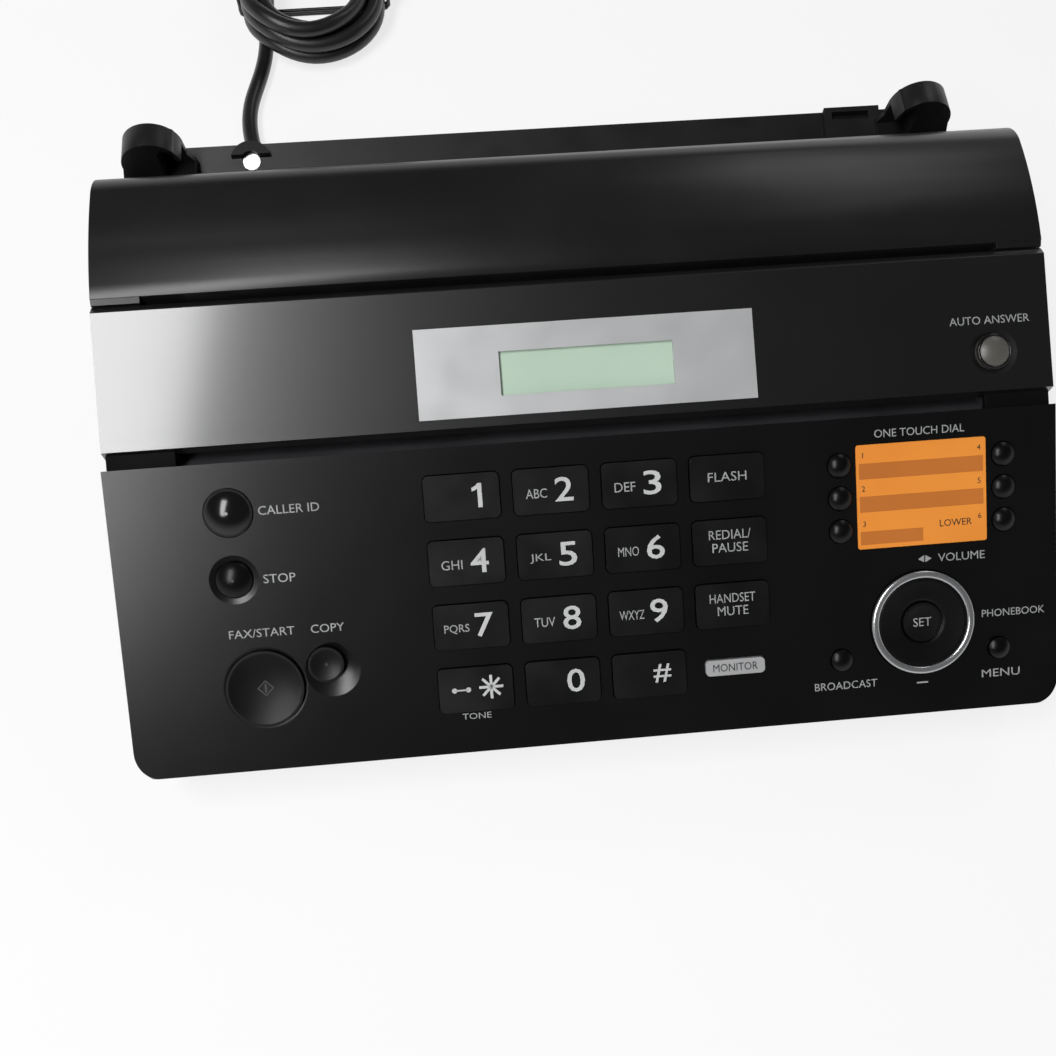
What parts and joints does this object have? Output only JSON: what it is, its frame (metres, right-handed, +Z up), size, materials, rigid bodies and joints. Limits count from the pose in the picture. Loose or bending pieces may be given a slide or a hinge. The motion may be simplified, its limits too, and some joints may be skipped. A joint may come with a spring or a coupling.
{
  "type": "fax machine",
  "caption": "Compact desktop thermal fax machine with a sloping key panel, a small display, a lifting curved cover over its paper roll, sliding document guides and a mains cord.",
  "frame": {"origin": "centre of the casing in plan, on the table under the feet", "axes": "+X to the right seen from the keys, +Y to the back, +Z up"},
  "size_m": [0.272, 0.4583, 0.0973],
  "materials": {
    "casing": "satin black moulded shell",
    "inner": "dark grey moulding",
    "keycap": "semi-gloss black",
    "silver": "satin silver",
    "display": "pale green display",
    "beige": "grey-beige cap",
    "board": "green board",
    "gear": "natural acetal",
    "brass": "turned",
    "steel": "plain",
    "rubber": "black rubber",
    "white_rubber": "white rubber",
    "grey_rubber": "grey silicone",
    "paper": "thermal paper",
    "card": "orange card",
    "cordskin": "black flexible sleeve"
  },
  "bodies": {
    "base": {"bottom_case": "casing", "display_panel": "casing", "silver_plate": "silver", "document_tray": "casing", "lcd_module": "display", "main_board": "board", "speaker": "inner", "chassis": "inner", "paper_holder": "inner", "head_springs": "steel", "image_sensor": "inner", "motor": "steel", "case_screws": "steel", "feet": "rubber", "strain_relief": "cordskin", "power_cord": "cordskin", "cord_hank": "cordskin", "plug": "cordskin"},
    "front_cover": {"control_panel": "casing", "key_sheet": "grey_rubber", "key_board": "board", "directory_card": "card"},
    "cover": {"top_cover": "casing"},
    "platen": {"platen_roller": "rubber"},
    "head": {"thermal_head": "steel"},
    "feed": {"feed_roller": "white_rubber"},
    "roll": {"paper_roll": "paper"},
    "pinion": {"motor_pinion": "brass"},
    "reduction": {"reduction_gear": "gear"},
    "idler": {"idler_gear": "gear"},
    "left_guide": {"guide_left": "casing"},
    "right_guide": {"guide_right": "casing"},
    "guide_wheel": {"guide_pinion": "gear"},
    "key_1_cap": {"key_1": "keycap"},
    "key_2_cap": {"key_2": "keycap"},
    "key_3_cap": {"key_3": "keycap"},
    "key_4_cap": {"key_4": "keycap"},
    "key_5_cap": {"key_5": "keycap"},
    "key_6_cap": {"key_6": "keycap"},
    "key_7_cap": {"key_7": "keycap"},
    "key_8_cap": {"key_8": "keycap"},
    "key_9_cap": {"key_9": "keycap"},
    "key_star_cap": {"key_star": "keycap"},
    "key_0_cap": {"key_0": "keycap"},
    "key_hash_cap": {"key_hash": "keycap"},
    "flash_key_cap": {"flash_key": "keycap"},
    "redial_key_cap": {"redial_key": "keycap"},
    "mute_key_cap": {"mute_key": "keycap"},
    "monitor_key_cap": {"monitor_key": "silver"},
    "caller_key_cap": {"caller_key": "keycap"},
    "stop_key_cap": {"stop_key": "keycap"},
    "start_key_cap": {"start_key": "keycap"},
    "copy_key_cap": {"copy_key": "keycap"},
    "answer_key_cap": {"answer_key": "beige"},
    "one_touch_left_cap": {"one_touch_left": "keycap"},
    "one_touch_right_cap": {"one_touch_right": "keycap"},
    "navigator_key_cap": {"navigator_key": "silver"},
    "set_key_cap": {"set_key": "keycap"},
    "broadcast_key_cap": {"broadcast_key": "keycap"},
    "menu_key_cap": {"menu_key": "keycap"}
  },
  "joints": [
    {"name": "front_cover_hinge", "type": "hinge", "parent": "base", "child": "front_cover", "pos_m": [0, -0.08195, 0.011], "axis": [1, 0, 0], "range_deg": [0, 40]},
    {"name": "cover_hinge", "type": "hinge", "parent": "base", "child": "cover", "pos_m": [0, 0.05824, 0.08541], "axis": [-1, 0, 0], "range_deg": [0, 68]},
    {"name": "head_pivot", "type": "hinge", "parent": "base", "child": "head", "pos_m": [0, 0.02787, 0.06637], "axis": [1, 0, 0], "range_deg": [0, 3], "stiffness_Nm_per_rad": 2, "springref_deg": -2.86},
    {"name": "feed_spin", "type": "hinge", "parent": "base", "child": "feed", "pos_m": [0, 0.02019, 0.05613], "axis": [1, 0, 0], "continuous": true},
    {"name": "platen_spin", "type": "hinge", "parent": "cover", "child": "platen", "pos_m": [0, 0.03554, 0.07966], "axis": [1, 0, 0], "continuous": true},
    {"name": "idler_spin", "type": "hinge", "parent": "base", "child": "idler", "pos_m": [0, 0.03675, 0.0621], "axis": [1, 0, 0], "continuous": true},
    {"name": "reduction_spin", "type": "hinge", "parent": "base", "child": "reduction", "pos_m": [0, 0.01771, 0.03871], "axis": [1, 0, 0], "continuous": true},
    {"name": "pinion_spin", "type": "hinge", "parent": "base", "child": "pinion", "pos_m": [0, -0.00191, 0.02353], "axis": [1, 0, 0], "continuous": true},
    {"name": "roll_spin", "type": "hinge", "parent": "base", "child": "roll", "pos_m": [0, 0.05404, 0.05546], "axis": [1, 0, 0], "continuous": true},
    {"name": "right_guide_slide", "type": "slide", "parent": "base", "child": "right_guide", "axis": [-1, 0, 0], "range_m": [0, 0.044]},
    {"name": "left_guide_slide", "type": "slide", "parent": "base", "child": "left_guide", "axis": [1, 0, 0], "range_m": [0, 0.044]},
    {"name": "guide_wheel_spin", "type": "hinge", "parent": "base", "child": "guide_wheel", "pos_m": [-0.0035, 0.08464, 0.0537], "axis": [0, 1, 0], "range_deg": [0, 632]},
    {"name": "key_1_press", "type": "slide", "parent": "front_cover", "child": "key_1_cap", "axis": [0, 0.5, -0.866], "range_m": [0, 0.0012], "stiffness_N_per_m": 400, "springref_m": -0.0008},
    {"name": "key_2_press", "type": "slide", "parent": "front_cover", "child": "key_2_cap", "axis": [0, 0.5, -0.866], "range_m": [0, 0.0012], "stiffness_N_per_m": 400, "springref_m": -0.0008},
    {"name": "key_3_press", "type": "slide", "parent": "front_cover", "child": "key_3_cap", "axis": [0, 0.5, -0.866], "range_m": [0, 0.0012], "stiffness_N_per_m": 400, "springref_m": -0.0008},
    {"name": "key_4_press", "type": "slide", "parent": "front_cover", "child": "key_4_cap", "axis": [0, 0.5, -0.866], "range_m": [0, 0.0012], "stiffness_N_per_m": 400, "springref_m": -0.0008},
    {"name": "key_5_press", "type": "slide", "parent": "front_cover", "child": "key_5_cap", "axis": [0, 0.5, -0.866], "range_m": [0, 0.0012], "stiffness_N_per_m": 400, "springref_m": -0.0008},
    {"name": "key_6_press", "type": "slide", "parent": "front_cover", "child": "key_6_cap", "axis": [0, 0.5, -0.866], "range_m": [0, 0.0012], "stiffness_N_per_m": 400, "springref_m": -0.0008},
    {"name": "key_7_press", "type": "slide", "parent": "front_cover", "child": "key_7_cap", "axis": [0, 0.5, -0.866], "range_m": [0, 0.0012], "stiffness_N_per_m": 400, "springref_m": -0.0008},
    {"name": "key_8_press", "type": "slide", "parent": "front_cover", "child": "key_8_cap", "axis": [0, 0.5, -0.866], "range_m": [0, 0.0012], "stiffness_N_per_m": 400, "springref_m": -0.0008},
    {"name": "key_9_press", "type": "slide", "parent": "front_cover", "child": "key_9_cap", "axis": [0, 0.5, -0.866], "range_m": [0, 0.0012], "stiffness_N_per_m": 400, "springref_m": -0.0008},
    {"name": "key_star_press", "type": "slide", "parent": "front_cover", "child": "key_star_cap", "axis": [0, 0.5, -0.866], "range_m": [0, 0.0012], "stiffness_N_per_m": 400, "springref_m": -0.0008},
    {"name": "key_0_press", "type": "slide", "parent": "front_cover", "child": "key_0_cap", "axis": [0, 0.5, -0.866], "range_m": [0, 0.0012], "stiffness_N_per_m": 400, "springref_m": -0.0008},
    {"name": "key_hash_press", "type": "slide", "parent": "front_cover", "child": "key_hash_cap", "axis": [0, 0.5, -0.866], "range_m": [0, 0.0012], "stiffness_N_per_m": 400, "springref_m": -0.0008},
    {"name": "flash_key_press", "type": "slide", "parent": "front_cover", "child": "flash_key_cap", "axis": [0, 0.5, -0.866], "range_m": [0, 0.0012], "stiffness_N_per_m": 400, "springref_m": -0.0008},
    {"name": "redial_key_press", "type": "slide", "parent": "front_cover", "child": "redial_key_cap", "axis": [0, 0.5, -0.866], "range_m": [0, 0.0012], "stiffness_N_per_m": 400, "springref_m": -0.0008},
    {"name": "mute_key_press", "type": "slide", "parent": "front_cover", "child": "mute_key_cap", "axis": [0, 0.5, -0.866], "range_m": [0, 0.0012], "stiffness_N_per_m": 400, "springref_m": -0.0008},
    {"name": "monitor_key_press", "type": "slide", "parent": "front_cover", "child": "monitor_key_cap", "axis": [0, 0.5, -0.866], "range_m": [0, 0.0012], "stiffness_N_per_m": 400, "springref_m": -0.0008},
    {"name": "caller_key_press", "type": "slide", "parent": "front_cover", "child": "caller_key_cap", "axis": [0, 0.5, -0.866], "range_m": [0, 0.0012], "stiffness_N_per_m": 400, "springref_m": -0.0008},
    {"name": "stop_key_press", "type": "slide", "parent": "front_cover", "child": "stop_key_cap", "axis": [0, 0.5, -0.866], "range_m": [0, 0.0012], "stiffness_N_per_m": 400, "springref_m": -0.0008},
    {"name": "start_key_press", "type": "slide", "parent": "front_cover", "child": "start_key_cap", "axis": [0, 0.5, -0.866], "range_m": [0, 0.0012], "stiffness_N_per_m": 400, "springref_m": -0.0008},
    {"name": "copy_key_press", "type": "slide", "parent": "front_cover", "child": "copy_key_cap", "axis": [0, 0.5, -0.866], "range_m": [0, 0.0012], "stiffness_N_per_m": 400, "springref_m": -0.0008},
    {"name": "answer_key_press", "type": "slide", "parent": "base", "child": "answer_key_cap", "axis": [0, 0.3875, -0.9219], "range_m": [0, 0.0012], "stiffness_N_per_m": 400, "springref_m": -0.0008},
    {"name": "one_touch_left_press", "type": "slide", "parent": "front_cover", "child": "one_touch_left_cap", "axis": [0, 0.5, -0.866], "range_m": [0, 0.0012], "stiffness_N_per_m": 400, "springref_m": -0.0008},
    {"name": "one_touch_right_press", "type": "slide", "parent": "front_cover", "child": "one_touch_right_cap", "axis": [0, 0.5, -0.866], "range_m": [0, 0.0012], "stiffness_N_per_m": 400, "springref_m": -0.0008},
    {"name": "navigator_key_press", "type": "slide", "parent": "front_cover", "child": "navigator_key_cap", "axis": [0, 0.5, -0.866], "range_m": [0, 0.0012], "stiffness_N_per_m": 400, "springref_m": -0.0008},
    {"name": "set_key_press", "type": "slide", "parent": "front_cover", "child": "set_key_cap", "axis": [0, 0.5, -0.866], "range_m": [0, 0.0012], "stiffness_N_per_m": 400, "springref_m": -0.0008},
    {"name": "broadcast_key_press", "type": "slide", "parent": "front_cover", "child": "broadcast_key_cap", "axis": [0, 0.5, -0.866], "range_m": [0, 0.0012], "stiffness_N_per_m": 400, "springref_m": -0.0008},
    {"name": "menu_key_press", "type": "slide", "parent": "front_cover", "child": "menu_key_cap", "axis": [0, 0.5, -0.866], "range_m": [0, 0.0012], "stiffness_N_per_m": 400, "springref_m": -0.0008}
  ],
  "couplings": [
    {"joint": "idler_spin", "follows": "feed_spin", "ratio": -0.83333},
    {"joint": "platen_spin", "follows": "feed_spin", "ratio": 1},
    {"joint": "reduction_spin", "follows": "feed_spin", "ratio": -0.83333},
    {"joint": "pinion_spin", "follows": "feed_spin", "ratio": 3.4722},
    {"joint": "left_guide_slide", "follows": "right_guide_slide", "ratio": 1},
    {"joint": "guide_wheel_spin", "follows": "right_guide_slide", "rad_per_m": 250}
  ]
}
